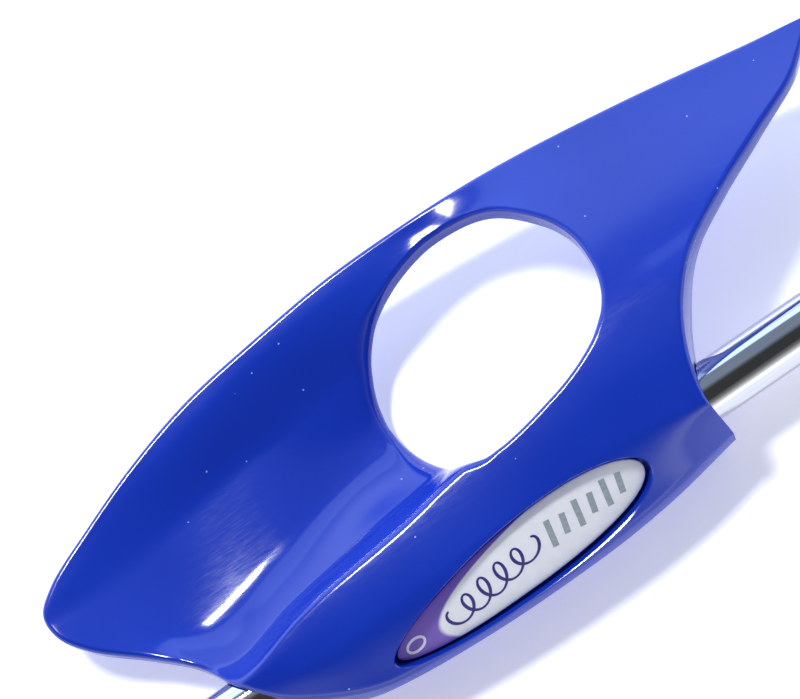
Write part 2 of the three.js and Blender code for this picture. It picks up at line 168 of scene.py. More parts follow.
class Surface:
    """A material in the making: its tree, its Principled shader and the place on the object."""

    def __init__(self, name: str) -> None:
        """Starts the material with a bare shader.

        Args:
            name: the material's name.
        """
        self.material = bpy.data.materials.new(name)
        self.material.use_nodes = True
        self.tree = self.material.node_tree
        self.tree.nodes.clear()
        self.shader = add_node(self.tree, "ShaderNodeBsdfPrincipled")
        add_node(self.tree, "ShaderNodeOutputMaterial", links={"Surface": self.shader.outputs["BSDF"]})
        self.place = add_node(self.tree, "ShaderNodeTexCoord").outputs["Object"]

    def add(
        self,
        kind: str,
        settings: Settings,
        links: Links | None = None,
        output: int = 0,
    ) -> Socket:
        """Adds a node, which follows the place on the object if it is linked to nothing else.

        Args:
            kind: the node's type name.
            settings: as for add_node.
            links: as for add_node.
            output: the number of the output that is wanted.

        Returns:
            That output.
        """
        return add_node(self.tree, kind, settings, links or {"Vector": self.place}).outputs[output]

    def put(self, name: str, value: object) -> None:
        """Gives one of the shader's sockets a plain value, or links a pattern to it.

        Args:
            name: the socket's name.
            value: the plain value, or the pattern's output.
        """
        if isinstance(value, Socket):
            self.tree.links.new(value, self.shader.inputs[name])
        else:
            self.shader.inputs[name].default_value = value


# ---- finishes


@dataclass(frozen=True)
class GlossyMouldedAbs:
    """Royal-blue ABS, injection moulded in a polished tool.

    The polished tool gives a mirror-like skin with faint flow waves; handling leaves fine
    hairlines that blur it a little, and a few specks of dust stand out on the dark colour.
    """

    name: str = "glossy_moulded_abs"
    deep: str = "#1230a6"
    light: str = "#173ab6"
    dust: str = "#9fb0e6"
    ior: float = 1.53
    roughness: Point = (0.10, 0.17)
    flow_mm: float = 28.0
    wave_mm: float = 7.0
    hairline_mm: float = 0.25
    dust_mm: float = 2.6
    speck_share: float = 0.035

    def build(self) -> Material:
        """Builds the material.

        Returns:
            The node material.
        """
        skin = Surface(self.name)
        flow = skin.add("ShaderNodeTexNoise", {"Scale": per_mm(self.flow_mm), "Detail": 2.0})
        blue = skin.add("ShaderNodeValToRGB", {"stops": stops(self.deep, self.light)}, {"Fac": flow})
        cells = skin.add("ShaderNodeTexVoronoi", {"Scale": per_mm(self.dust_mm), "Randomness": 1.0})
        near = skin.add("ShaderNodeMath", {"operation": "LESS_THAN", 1: self.speck_share}, {0: cells})
        specks = {"data_type": "RGBA", 7: linear(self.dust)}
        skin.put("Base Color", skin.add("ShaderNodeMix", specks, {0: near, 6: blue}, 2))
        drawn = skin.add("ShaderNodeMapping", {"Scale": (0.12, 1.0, 1.0), "Rotation": (0.0, 0.0, 0.5)})
        rubbed = {"Scale": per_mm(self.hairline_mm), "Detail": 4.0, "Roughness": 0.7}
        lines = skin.add("ShaderNodeTexNoise", rubbed, {"Vector": drawn})
        ends = {"stops": stops(*self.roughness, 0.35, 0.75)}
        skin.put("Roughness", skin.add("ShaderNodeValToRGB", ends, {"Fac": lines}))
        wave = skin.add("ShaderNodeTexNoise", {"Scale": per_mm(self.wave_mm), "Detail": 1.0})
        swell = skin.add("ShaderNodeBump", {"Strength": 0.10, "Distance": 0.2 * MM}, {"Height": wave})
        scratch = {"Strength": 0.05, "Distance": 0.01 * MM}
        skin.put("Normal", skin.add("ShaderNodeBump", scratch, {"Height": lines, "Normal": swell}))
        skin.put("IOR", self.ior)
        return skin.material


@dataclass(frozen=True)
class PolishedChrome:
    """Bright chrome plate on a drawn and polished tube.

    Buffing leaves hairlines along the tube, and fingers leave a faint patchy haze.
    """

    name: str = "polished_chrome_plate"
    colour: str = "#dcdee2"
    haze: Point = (0.035, 0.10)
    hairline_mm: float = 0.12
    patch_mm: float = 9.0

    def build(self) -> Material:
        """Builds the material.

        Returns:
            The node material.
        """
        skin = Surface(self.name)
        patches = skin.add("ShaderNodeTexNoise", {"Scale": per_mm(self.patch_mm), "Detail": 3.0})
        ends = {"stops": stops(*self.haze, 0.4, 0.75)}
        skin.put("Roughness", skin.add("ShaderNodeValToRGB", ends, {"Fac": patches}))
        along = skin.add("ShaderNodeMapping", {"Scale": (0.02, 1.0, 1.0)})
        buffed = {"Scale": per_mm(self.hairline_mm), "Detail": 2.0}
        lines = skin.add("ShaderNodeTexNoise", buffed, {"Vector": along})
        ends = {"stops": stops("#d3d6db", self.colour)}
        skin.put("Base Color", skin.add("ShaderNodeValToRGB", ends, {"Fac": lines}))
        relief = {"Strength": 0.08, "Distance": 0.01 * MM}
        skin.put("Normal", skin.add("ShaderNodeBump", relief, {"Height": lines}))
        skin.put("Metallic", 1.0)
        return skin.material


@dataclass(frozen=True)
class TurnedMetal:
    """Metal turned on a lathe, which leaves fine rings round the axis."""

    name: str
    dark: str
    light: str
    roughness: Point
    ring_mm: float = 0.16

    def build(self) -> Material:
        """Builds the material.

        Returns:
            The node material.
        """
        skin = Surface(self.name)
        across = skin.add("ShaderNodeMapping", {"Scale": (1.0, 0.05, 0.05)})
        lathe = {"Scale": per_mm(self.ring_mm), "Detail": 2.0}
        rings = skin.add("ShaderNodeTexNoise", lathe, {"Vector": across})
        ends = {"stops": stops(self.dark, self.light)}
        skin.put("Base Color", skin.add("ShaderNodeValToRGB", ends, {"Fac": rings}))
        ends = {"stops": stops(*self.roughness)}
        skin.put("Roughness", skin.add("ShaderNodeValToRGB", ends, {"Fac": rings}))
        relief = {"Strength": 0.15, "Distance": 0.01 * MM}
        skin.put("Normal", skin.add("ShaderNodeBump", relief, {"Height": rings}))
        skin.put("Metallic", 1.0)
        return skin.material


@dataclass(frozen=True)
class MouldedPolymer:
    """A plain moulded or extruded polymer with a fine grain and slight mottling."""

    name: str
    dark: str
    light: str
    roughness: float
    grain_mm: float = 0.4
    transmission: float = 0.0

    def build(self) -> Material:
        """Builds the material.

        Returns:
            The node material.
        """
        skin = Surface(self.name)
        grain = skin.add("ShaderNodeTexNoise", {"Scale": per_mm(self.grain_mm), "Detail": 3.0})
        ends = {"stops": stops(self.dark, self.light)}
        skin.put("Base Color", skin.add("ShaderNodeValToRGB", ends, {"Fac": grain}))
        relief = {"Strength": 0.12, "Distance": 0.02 * MM}
        skin.put("Normal", skin.add("ShaderNodeBump", relief, {"Height": grain}))
        skin.put("Roughness", self.roughness)
        skin.put("Transmission Weight", self.transmission)
        return skin.material


@dataclass(frozen=True)
class PrintedVinyl:
    """White vinyl label with a violet print that fades out from its front end.

    The print is under a clear glossy film, so the label shines as smoothly as the holder.
    """

    name: str = "printed_vinyl_label"
    white: str = "#f2f4fa"
    violet: str = "#7a5fc0"
    fade_mm: Point = (0.9, 1.5)
    middle_mm: float = -5.3
    bow_per_mm: float = 0.8

    def build(self) -> Material:
        """Builds the material.

        Returns:
            The node material.
        """
        skin = Surface(self.name)
        axes = add_node(skin.tree, "ShaderNodeSeparateXYZ", links={"Vector": skin.place}).outputs
        across = skin.add("ShaderNodeMath", {"operation": "ADD", 1: -self.middle_mm * MM}, {0: axes["Y"]})
        squared = skin.add("ShaderNodeMath", {"operation": "MULTIPLY"}, {0: across, 1: across})
        bow = {"operation": "MULTIPLY_ADD", 1: -self.bow_per_mm / MM}
        bowed = skin.add("ShaderNodeMath", bow, {0: squared, 2: axes["X"]})
        start, end = (place * MM for place in self.fade_mm)
        step = {"From Min": start, "From Max": end, "interpolation_type": "SMOOTHSTEP"}
        fade = skin.add("ShaderNodeMapRange", step, {"Value": bowed})
        fibre = skin.add("ShaderNodeTexNoise", {"Scale": per_mm(1.5), "Detail": 4.0})
        paper = skin.add("ShaderNodeValToRGB", {"stops": stops("#eaedf5", self.white)}, {"Fac": fibre})
        printed = {"data_type": "RGBA", 6: linear(self.violet)}
        skin.put("Base Color", skin.add("ShaderNodeMix", printed, {0: fade, 7: paper}, 2))
        relief = {"Strength": 0.06, "Distance": 0.05 * MM}
        skin.put("Normal", skin.add("ShaderNodeBump", relief, {"Height": fibre}))
        skin.put("Roughness", 0.22)
        return skin.material


class Finish(Enum):
    """The finishes of this pen."""

    ABS = GlossyMouldedAbs()
    LABEL = PrintedVinyl()
    PRINT_DARK = MouldedPolymer("indigo_screen_ink", "#241a6e", "#2f2487", 0.35)
    PRINT_GREY = MouldedPolymer("silver_grey_screen_ink", "#8d99a3", "#9fabb4", 0.35)
    PRINT_PALE = MouldedPolymer("pale_lilac_screen_ink", "#e2dcf6", "#efeafc", 0.35)
    CHROME = PolishedChrome()
    BRASS = TurnedMetal("turned_brass", "#a5813a", "#c9a860", (0.22, 0.34))
    STEEL = TurnedMetal("turned_stainless_steel", "#96999e", "#b7babf", (0.18, 0.30), 0.10)
    CARBIDE = TurnedMetal("polished_tungsten_carbide", "#6d7076", "#83868c", (0.08, 0.14), 0.08)
    ACETAL = MouldedPolymer("white_acetal", "#d2d3d4", "#e2e3e4", 0.42)
    POLYPROPYLENE = MouldedPolymer("translucent_polypropylene", "#cfd6dc", "#e1e7ec", 0.28, 0.8, 0.6)
    INK = MouldedPolymer("blue_ballpoint_ink", "#0b154f", "#121f6e", 0.25, 1.0)
    GREASE = MouldedPolymer("follower_grease", "#b9b08c", "#cfc7a6", 0.5, 1.0)
    NITRILE = MouldedPolymer("nitrile_rubber", "#141415", "#202022", 0.7, 0.2)


class Palette:
    """Builds each finish once and hands it out."""

    def __init__(self) -> None:
        """Starts with no finish built."""
        self._built: dict[Finish, Material] = {}

    def get(self, finish: Finish) -> Material:
        """Hands out a finish's material, which is built on first use.

        Args:
            finish: the finish that is wanted.

        Returns:
            Its material.
        """
        if finish not in self._built:
            self._built[finish] = finish.value.build()
        return self._built[finish]


# ---- meshes


def mesh_object(name: str, points: list[Vector], faces: Faces) -> Piece:
    """Makes a linked, smooth-shaded object from points in millimetres.

    Args:
        name: the object's name.
        points: the vertices, in millimetres.
        faces: vertex numbers, anticlockwise from outside.

    Returns:
        The object, with its mesh in metres.
    """
    mesh = bpy.data.meshes.new(name)
    mesh.from_pydata([tuple(p * MM) for p in points], [], faces)
    mesh.validate()
    obj = bpy.data.objects.new(name, mesh)
    bpy.context.scene.collection.objects.link(obj)
    shade(obj)
    return obj


def shade(obj: Piece, crease_degrees: float = 32.0) -> None:
    """Shades a mesh smooth, and sharp where it bends by more than the crease angle."""
    obj.data.shade_smooth()
    obj.data.set_sharp_from_angle(angle=math.radians(crease_degrees))


def band(before: list[int], after: list[int]) -> Faces:
    """Joins two closed loops with as many points by four-sided faces.

    Args:
        before: the first loop's point numbers.
        after: the second loop's.

    Returns:
        The faces.
    """
    count = len(before)
    ends = [(k, (k + 1) % count) for k in range(count)]
    return [(before[k], before[n], after[n], after[k]) for k, n in ends]


def turned(name: str, profile: Profile, height: float, segments: int = 96) -> Piece:
    """Makes a piece turned about the barrel's axis.

    Args:
        name: the object's name.
        profile: [x, radius] in millimetres; it starts and ends on the axis or closes on itself.
        height: the axis's height in millimetres.
        segments: the number of steps round the axis.

    Returns:
        The object.
    """
    points: list[Vector] = []
    rings: list[list[int]] = []
    for x, radius in profile:
        count = segments if radius > 0 else 1
        rings.append(list(range(len(points), len(points) + count)))
        turns = [math.tau * k / segments for k in range(count)]
        points += [Vector((x, -radius * math.sin(t), height + radius * math.cos(t))) for t in turns]
    closed = profile[0][1] > 0
    faces: Faces = []
    for before, after in zip(rings, rings[1:] + ([rings[0]] if closed else [])):
        if len(before) == len(after):
            faces += band(before, after) if len(before) > 1 else []
            continue
        for k in range(segments):
            n = (k + 1) % segments
            fan = (before[0], after[n], after[k]) if len(before) == 1 else (before[k], before[n], after[0])
            faces.append(fan)
    return mesh_object(name, points, faces)


def rounded(profile: Profile, radius: float, steps: int = 4) -> Profile:
    """Rounds the corners of a turned profile.

    Args:
        profile: [x, radius] corners; those on the axis stay sharp.
        radius: the rounding radius in millimetres, less where an edge is short.
        steps: the number of steps in each rounded corner.

    Returns:
        The profile with its corners rounded.
    """
    count = len(profile)
    closed = profile[0][1] > 0
    result: Profile = []
    for i, corner in enumerate(profile):
        here = Vector(corner)
        if not closed and i in (0, count - 1):
            result.append(corner)
            continue
        before = Vector(profile[i - 1])
        after = Vector(profile[(i + 1) % count])
        reach = min(radius, 0.4 * (before - here).length, 0.4 * (after - here).length)
        start = here + (before - here).normalized() * reach
        end = here + (after - here).normalized() * reach
        for k in range(steps + 1):
            t = k / steps
            spot = start * (1 - t) ** 2 + here * 2 * t * (1 - t) + end * t**2
            result.append((spot.x, spot.y))
    return result


def dress(obj: Piece, material: Material) -> None:
    """Gives an object one material in place of any it has."""
    obj.data.materials.clear()
    obj.data.materials.append(material)


def stand_for(piece: Piece, node: str, body: str, material: Material) -> None:
    """Dresses a piece, and lets it stand for a CAD node.

    Args:
        piece: the piece.
        node: the CAD node that it replaces.
        body: the CAD body that it moves with.
        material: its finish.
    """
    dress(piece, material)
    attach(piece, body)
    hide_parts(node)
    log.info("%s: %d faces", piece.name, len(piece.data.polygons))


def cut(obj: Piece, tool: Piece) -> None:
    """Cuts a closed tool out of an object, and removes the tool.

    Args:
        obj: the object to cut.
        tool: the closed tool.
    """
    modifier = obj.modifiers.new("cut", "BOOLEAN")
    modifier.operation = "DIFFERENCE"
    modifier.solver = "EXACT"
    modifier.object = tool
    graph = bpy.context.evaluated_depsgraph_get()
    result = bpy.data.meshes.new_from_object(obj.evaluated_get(graph), depsgraph=graph)
    obj.modifiers.clear()
    obj.data = result
    bpy.data.objects.remove(tool)


# ---- design lines


def hermite(xs: list[float], values: list[float], x: float) -> float:
    """Follows a smooth line through knots without overshoot, held level past its ends.

    Args:
        xs: the knots' places, rising.
        values: the knots' values.
        x: the place asked for.

    Returns:
        The value at x.
    """
    last = len(xs) - 1
    if x <= xs[0]:
        return values[0]
    if x >= xs[last]:
        return values[last]
    i = bisect.bisect_right(xs, x) - 1

    def secant(k: int) -> float:
        """Returns the slope between knot k and the next."""
        return (values[k + 1] - values[k]) / (xs[k + 1] - xs[k])

    def slope(k: int) -> float:
        """Works out the line's slope at a knot.

        Args:
            k: the knot's number.

        Returns:
            The slope.
        """
        if k == 0:
            return secant(0)
        if k == last:
            return secant(last - 1)
        before, after = secant(k - 1), secant(k)
        return 0.0 if before * after <= 0 else 2 * before * after / (before + after)

    width = xs[i + 1] - xs[i]
    t = (x - xs[i]) / width
    return (
        (2 * t**3 - 3 * t**2 + 1) * values[i]
        + (t**3 - 2 * t**2 + t) * width * slope(i)
        + (3 * t**2 - 2 * t**3) * values[i + 1]
        + (t**3 - t**2) * width * slope(i + 1)
    )


class Knots:
    """A smooth line of values along X."""

    def __init__(self, *knots: Point) -> None:
        """Keeps the knots, each [x, value] in millimetres."""
        self.xs = [k[0] for k in knots]
        self.values = [k[1] for k in knots]

    def at(self, x: float) -> float:
        """Returns the value at x."""
        return hermite(self.xs, self.values, x)


@dataclass(frozen=True)
class DesignLine:
    """A line along the holder: where it lies across the holder, and how high."""

    y: Knots
    z: Knots


FLANK_EDGE_Y = Knots(
    (-22, 0.5), (-17.2, -1.2), (-15.2, -2.4), (-11.5, -4.7), (-6.5, -6.7), (1, -7.6),
    (9.5, -7.95), (18.7, -7.8), (27.1, -7.05), (35.4, -5.4),
)
CREST_Y = Knots(
    (-22, 4.5), (-17.2, 0.9), (-9.5, 2.5), (-5, 3.1), (3.1, 3.7), (10.4, 4.8), (20, 5.6), (27, 7.4), (34, 8.5)
)
FLOOR_Y = Knots((-32, 16.5), (-25, 12.7), (-18, 10.5), (-10, 12.3), (0, 15), (9, 16.6), (28, 18))
SIDE_Y = Knots((-32, 18.5), (-25, 18), (-18, 19), (-10, 20.5), (0, 21.8), (9, 22.5), (28, 22.5), (66, 20.5))
RIM_Y = Knots(
    (-32, 20), (-25, 22.8), (-16, 26.2), (-8, 28.2), (0, 29.6), (12, 30.6), (20.5, 30.2), (28, 28.2),
    (34, 27), (50, 25), (66, 23),
)
OUTER_Y = Knots(
    (-32, 22), (-25, 24.6), (-16, 28), (-8, 30.3), (2, 31.6), (14, 32.4), (30.3, 31.5), (45.6, 29.2), (66, 25)
)

TOP_LINES = [
    DesignLine(FLANK_EDGE_Y, Knots(
        (-22, 6), (-17, 8.6), (-11.5, 7.6), (-4, 6.9), (4, 6.9), (27, 7.2), (35.4, 6.6)
    )),
    DesignLine(
        Knots((-22, 2.2), (-16, -0.2), (-10, -1.3), (0, -1.5), (12, -1.1), (24, -0.8), (34.7, -2.7)),
        Knots((-22, 6.1), (-17, 9.3), (-10, 10.2), (0, 11.2), (12, 12.1), (24, 12.4), (35, 12.2)),
    ),
    DesignLine(CREST_Y, Knots(
        (-22, 6.1), (-17.2, 9.5), (-9.5, 10.7), (-0.7, 11.6), (10.4, 12.5), (22, 13.5), (30, 14.1),
        (38, 14.4),
    )),
    DesignLine(
        Knots((-22, 6.5), (-17.2, 4.6), (-10, 6.2), (0, 7.6), (8, 9), (12, 10), (28, 12.5), (66, 13)),
        Knots(
            (-32, 6.2), (-22, 6.0), (-17.2, 6.1), (-10, 6.3), (0, 6.4), (8, 5.3), (12, 4.8),
            (14, 5.0), (28, 13.8),
        ),
    ),
    DesignLine(FLOOR_Y, Knots(
        (-32, 6.6), (-25, 5.3), (-18, 4.3), (-13, 4.45), (-8, 4.3), (0, 3.2), (9, 2.5), (14, 2.8),
        (28, 12.9),
    )),
    DesignLine(SIDE_Y, Knots(
        (-32, 6.5), (-25, 5.6), (-18, 5), (-10, 4.6), (0, 4.3), (9, 4.4), (16, 6.5), (28, 11.9),
        (66, 12.2),
    )),
    DesignLine(RIM_Y, Knots(
        (-32, 6.6), (-25, 6.6), (-16, 6.9), (-8, 7.3), (0, 7.7), (12, 8.4), (22, 8.9), (28, 10.1),
        (34, 10.9), (66, 11.6),
    )),
    DesignLine(OUTER_Y, Knots(
        (-32, 6.7), (-16, 7.2), (2, 8), (14, 8.7), (30, 9.7), (38.7, 10.2), (66, 11.2)
    )),
]

BOTTOM_LINES = [
    DesignLine(FLANK_EDGE_Y, Knots((-22, 4), (-17, 2.2), (-11.5, 3.6), (-4, 4.8), (35.4, 4.8))),
    DesignLine(
        Knots(
            (-22, 1.6), (-17.2, 0.0), (-15.2, -1.1), (-11.5, -3.4), (-6.5, -5.4), (1, -6.3),
            (18.7, -6.5),
            (35.4, -4.4),
        ),
        Knots((-22, 3.8), (-17, 1.4), (-11.5, 1.8), (-4, 2.2), (35.4, 2.2)),
    ),
    DesignLine(
        Knots((-22, 3.4), (-17, 1), (-13, -1.6), (-8, -3.2)),
        Knots((-22, 3.6), (-17, 1), (-13, 0.2), (-10, 0), (36, 0), (40, 3)),
    ),
    DesignLine(
        Knots((-22, 5), (-17, 4.2)),
        Knots((-22, 3.6), (-17, 1.4), (-12, 0), (34, 0), (38, 4), (44, 10)),
    ),
    DesignLine(FLOOR_Y, Knots(
        (-32, 4.2), (-25, 3), (-18, 2.2), (-10, 1.3), (0, 0.5), (8, 0), (14, 0), (28, 9.4), (66, 10.3)
    )),
    DesignLine(SIDE_Y, Knots(
        (-32, 4.2), (-25, 3.2), (-18, 2.6), (-10, 2.1), (0, 1.8), (9, 1.9), (16, 4), (28, 8.6),
        (66, 9.6),
    )),
    DesignLine(RIM_Y, Knots(
        (-32, 4.3), (-16, 4.5), (-8, 4.8), (0, 5.1), (12, 5.8), (22, 6.3), (28, 7.4), (34, 8), (66, 9)
    )),
    DesignLine(OUTER_Y, Knots((-32, 4.5), (-16, 4.9), (2, 5.6), (14, 6.2), (30, 7.2), (66, 8.8))),
]

# Each rib joins a point of the outer edge to a point of the finger hole, anticlockwise from
# the tip of the tail wing.
RIBS = [
    ((65.6, 24.9), (33.55, 18.6)), ((56.5, 26.8), (33.1, 20.6)), ((45.6, 29.0), (32.0, 23.0)),
    ((30.3, 31.4), (28.2, 27.4)), ((20.5, 32.1), (22.6, 29.0)), ((11.0, 32.2), (16.9, 28.1)),
    ((1.7, 31.4), (12.9, 26.1)), ((-8.0, 30.1), (10.4, 23.9)), ((-16.1, 27.8), (9.1, 21.9)),
    ((-23.4, 24.9), (8.3, 20.1)), ((-29.4, 22.1), (7.95, 18.7)), ((-31.7, 19.9), (7.8, 17.6)),
    ((-31.6, 17.2), (7.85, 16.4)), ((-29.6, 14.2), (8.0, 15.1)), ((-24.7, 9.9), (8.5, 13.2)),
    ((-20.8, 5.8), (9.4, 11.1)), ((-18.6, 1.6), (10.6, 9.0)), ((-17.2, -0.3), (12.1, 6.5)),
    ((-15.2, -2.3), (13.9, 5.2)), ((-11.5, -4.6), (15.9, 5.0)), ((-6.5, -6.6), (17.7, 5.15)),
    ((1.0, -7.5), (19.6, 5.45)), ((9.5, -7.85), (21.8, 5.9)), ((18.7, -7.7), (24.2, 6.45)),
    ((27.1, -6.95), (26.7, 7.3)), ((35.4, -5.3), (28.9, 8.35)), ((34.8, -2.9), (29.7, 8.9)),
    ((35.2, -0.3), (30.5, 9.55)), ((36.5, 3.2), (31.4, 10.4)), ((38.8, 6.9), (32.2, 11.5)),
    ((42.4, 10.6), (32.8, 12.7)), ((48.0, 13.9), (33.3, 14.3)), ((54.5, 17.0), (33.5, 15.7)),
    ((61.0, 20.3), (33.6, 17.1)),
]
TAIL_TIP_RIB = 0
REAR_CORNER_RIB = 25


def height_on(lines: list[DesignLine], x: float, y: float) -> float:
    """Returns the height at (x, y) of the surface lofted across the lines."""
    return hermite([line.y.at(x) for line in lines], [line.z.at(x) for line in lines], y)


def smoothstep(value: float, low: float, high: float) -> float:
    """Returns 0 below low, 1 above high, and a smooth step between them."""
    t = min(1.0, max(0.0, (value - low) / (high - low)))
    return t * t * (3 - 2 * t)


def on_outline(end: int, t: float, corners: tuple[int, ...]) -> tuple[Vector, Vector]:
    """Follows the closed centripetal spline through one end of every rib.

    Args:
        end: 0 for the outer edge, 1 for the finger hole.
        t: the place along it, in ribs.
        corners: the ribs where the outline has a sharp corner.

    Returns:
        The point and the outline's outward unit normal, both flat.
    """
    count = len(RIBS)

    def spot(k: int) -> Vector:
        """Returns the end of rib k."""
        return Vector(RIBS[k % count][end])

    i = math.floor(t)
    points = [
        2 * spot(i) - spot(i + 1) if i % count in corners else spot(i - 1),
        spot(i),
        spot(i + 1),
        2 * spot(i + 1) - spot(i) if (i + 1) % count in corners else spot(i + 2),
    ]
    knots = [0.0]
    for a, b in zip(points, points[1:]):
        knots.append(knots[-1] + math.sqrt((b - a).length))

    def blend(a: Vector, b: Vector, low: float, high: float, u: float) -> Vector:
        """Returns the point between a, at low, and b, at high."""
        return (a * (high - u) + b * (u - low)) / (high - low)

    def place(u: float) -> Vector:
        """Finds a point of the spline by repeated blending.

        Args:
            u: its knot value.

        Returns:
            The point.
        """
        first = [blend(points[k], points[k + 1], knots[k], knots[k + 1], u) for k in range(3)]
        second = [blend(first[k], first[k + 1], knots[k], knots[k + 2], u) for k in range(2)]
        return blend(second[0], second[1], knots[1], knots[2], u)

    u = knots[1] + (t - i) * (knots[2] - knots[1])
    step = 1e-4 * (knots[2] - knots[1])
    course = (place(u + step) - place(u - step)).normalized()
    here = place(u)
    return Vector((here.x, here.y, 0)), Vector((course.y, -course.x, 0))


# ---- holder and label


@dataclass
class FlankLabel:
    """The pointed oval label and the recess that it sits in, laid out on the holder's flank."""

    centre_mm: float = 11.25
    half_mm: float = 15.05
    half_width_mm: float = 2.65
    taper: float = 0.22
    tilt: float = math.radians(37.5)
    recess_depth_mm: float = 1.75
    label_depth_mm: float = 1.0
    label_thickness_mm: float = 0.45
    clearance_mm: float = 0.45
    chamfer_mm: float = 0.14
    dome_mm: float = 0.12
    rim_round_mm: float = 0.12
    film_mm: Point = (0.02, -0.03)
    segments: int = 160
    centre_line: Knots = field(
        default_factory=lambda: Knots((-4, -5.7), (3, -5.3), (11, -4.75), (20, -4.35), (26.5, -4.2))
    )

    def spot(self, reach: float, angle: float, margin: float, depth: float) -> Vector:
        """Returns a point of the oval.

        Args:
            reach: 0 at the oval's centre, 1 at its edge.
            angle: the direction from the centre.
            margin: how much larger than the label, in millimetres.
            depth: how far below the flank, in millimetres.

        Returns:
            The point.
        """
        swell = 1 + self.taper * math.cos(angle)
        x = self.centre_mm + reach * (self.half_mm + margin) * math.cos(angle)
        width = (self.half_width_mm + margin * math.cos(self.tilt)) * swell
        y = self.centre_line.at(x) + reach * width * math.sin(angle)
        return self.sunk(x, y, depth)

    def sunk(self, x: float, y: float, depth: float) -> Vector:
        """Returns the point at a depth below the flank at (x, y), in millimetres."""
        inward = Vector((0, math.sin(self.tilt), -math.cos(self.tilt)))
        return Vector((x, y, height_on(TOP_LINES, x, y))) + inward * depth

    def solid(self, name: str, rings: list[tuple[float, float, float]]) -> Piece:
        """Makes a closed solid from rings, from the middle of its top to that of its underside.

        Args:
            name: the object's name.
            rings: each ring's reach, margin and depth.

        Returns:
            The object.
        """
        first, last = rings[0], rings[-1]
        points = [self.spot(0, 0, 0, first[2])]
        for reach, margin, depth in rings:
            for k in range(self.segments):
                points.append(self.spot(reach, math.tau * k / self.segments, margin, depth))
        points.append(self.spot(0, 0, 0, last[2]))
        end = len(points) - 1
        faces: Faces = []
        for k in range(self.segments):
            n = (k + 1) % self.segments
            faces.append((0, 1 + k, 1 + n))
            tail = 1 + (len(rings) - 1) * self.segments
            faces.append((end, tail + n, tail + k))
            for ring in range(len(rings) - 1):
                inner = 1 + ring * self.segments
                outer = inner + self.segments
                faces.append((inner + k, outer + k, outer + n, inner + n))
        return mesh_object(name, points, faces)

    def recess_tool(self) -> Piece:
        """Makes the tool that cuts the recess, with a small chamfer round its mouth.

        Returns:
            The closed tool.
        """
        spread = [k / 12 for k in range(1, 12)]
        gap, chamfer, above, depth = self.clearance_mm, self.chamfer_mm, 3.0, self.recess_depth_mm
        rings = [(r, gap + 0.6, -above) for r in [*spread, 1]]
        rings += [(1, gap + chamfer + 0.3, -0.3), (1, gap + chamfer, 0.0), (1, gap, chamfer)]
        rings += [(r, gap, depth) for r in [1, *reversed(spread)]]
        return self.solid("recess_tool", rings)

    def plate(self) -> Piece:
        """Makes the label itself, slightly domed, with a rounded rim.

        Returns:
            The closed label.
        """
        top = self.label_depth_mm
        under = top + self.label_thickness_mm
        rim = self.rim_round_mm
        rings = [(k / 16, 0.0, top - self.dome_mm * (1 - (k / 16) ** 2)) for k in range(1, 16)]
        for k in range(5):
            turn = math.pi / 2 * k / 4
            rings.append((1, -rim * (1 - math.sin(turn)), top + rim * (1 - math.cos(turn))))
        rings += [(1, 0.0, under)]
        rings += [(k / 6, 0.0, under) for k in range(5, 0, -1)]
        return self.solid("label", rings)

    def ribbon(self, name: str, path: list[tuple[float, float, float]]) -> Piece:
        """Makes a thin printed stroke on the label.

        Args:
            name: the object's name.
            path: the stroke's course: x, distance across the label and half width, in millimetres.

        Returns:
            The object, a closed film that stands just proud of the label.
        """
        points: list[Vector] = []
        for i, (x, across, half) in enumerate(path):
            before = path[max(i - 1, 0)]
            after = path[min(i + 1, len(path) - 1)]
            course = Vector((after[0] - before[0], after[1] - before[1])).normalized()
            side = Vector((-course.y, course.x)) * half
            proud, root = self.film_mm
            for sign, lift in ((1, proud), (-1, proud), (-1, root), (1, root)):
                px, pv = x + sign * side.x, across + sign * side.y
                points.append(self.print_spot(px, pv, lift))
        faces: Faces = [(0, 1, 2, 3)]
        for i in range(len(path) - 1):
            for j in range(4):
                n = (j + 1) % 4
                faces.append((i * 4 + n, i * 4 + j, i * 4 + 4 + j, i * 4 + 4 + n))
        last = 4 * (len(path) - 1)
        faces.append((last + 3, last + 2, last + 1, last))
        return mesh_object(name, points, faces)

    def print_spot(self, x: float, across: float, lift: float) -> Vector:
        """Returns a point above the label's face.

        Args:
            x: the place along the label, in millimetres.
            across: the distance from its centre line, up the slope, in millimetres.
            lift: the height above its face, in millimetres.

        Returns:
            The point.
        """
        along = (x - self.centre_mm) / self.half_mm
        swell = 1 + self.taper * along
        wide = across * math.cos(self.tilt)
        reach2 = min(1.0, along**2 + (wide / (self.half_width_mm * swell)) ** 2)
        y = self.centre_line.at(x) + wide
        return self.sunk(x, y, self.label_depth_mm - self.dome_mm * (1 - reach2) - lift)


